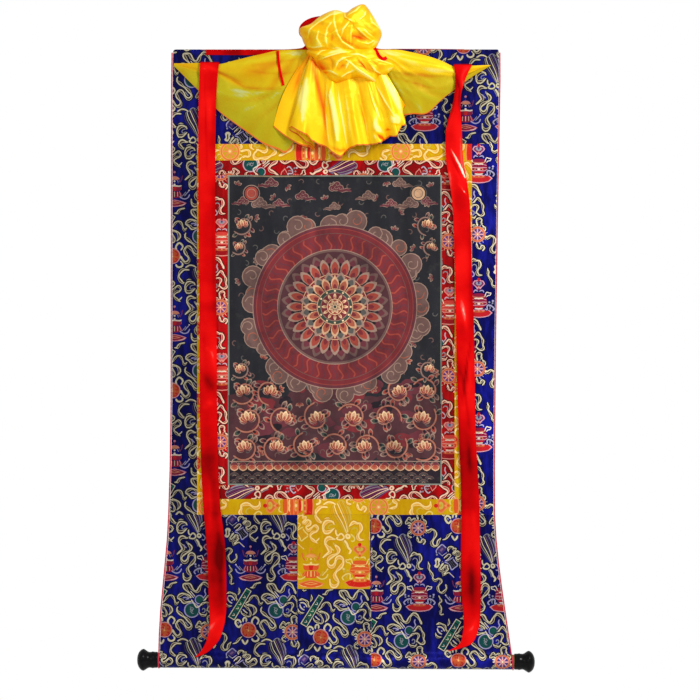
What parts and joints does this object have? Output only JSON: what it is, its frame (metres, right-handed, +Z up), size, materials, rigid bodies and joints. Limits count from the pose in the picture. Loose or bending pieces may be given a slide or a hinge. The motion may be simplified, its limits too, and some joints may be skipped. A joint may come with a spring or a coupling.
{
  "type": "thangka scroll painting",
  "caption": "Hanging scroll painting in brocade borders on a bottom roller with turned knobs; silk cover gathered up at the top, red ribbons down the front",
  "frame": {"origin": "middle of the cloth's top edge, where the hanging is held", "axes": "+X to the viewer's right, +Y into the wall behind the cloth, +Z up; the front faces -Y"},
  "size_m": [0.744, 0.0789, 1.248],
  "materials": {
    "blue_brocade": "satin brocade with figured threads",
    "gold_brocade": "satin brocade with figured threads",
    "red_brocade": "satin brocade with figured threads",
    "painting": "matt painted canvas",
    "piping": "matt cord",
    "rod_wood": "bare turned wood",
    "black_wood": "satin black lacquer",
    "silk": "thin glossy silk",
    "red_ribbon": "satin ribbon"
  },
  "bodies": {
    "root": {"blue_top": "blue_brocade", "blue_left": "blue_brocade", "blue_right": "blue_brocade", "blue_lower_left": "blue_brocade", "blue_lower_middle": "blue_brocade", "blue_lower_right": "blue_brocade", "gold_top": "gold_brocade", "gold_left": "gold_brocade", "gold_right": "gold_brocade", "gold_bottom_left": "gold_brocade", "gold_insert": "gold_brocade", "gold_bottom_right": "gold_brocade", "red_top": "red_brocade", "red_bottom": "red_brocade", "red_left": "red_brocade", "red_right": "red_brocade", "painting": "painting", "door_patch": "gold_brocade", "piping_left": "piping", "piping_right": "piping", "roller_rod": "rod_wood", "knob_left": "black_wood", "knob_right": "black_wood", "silk_cover": "silk", "ribbon_left": "red_ribbon", "ribbon_right": "red_ribbon", "hanging_tape": "red_ribbon", "tie_left": "red_ribbon", "tie_right": "red_ribbon"}
  },
  "joints": []
}
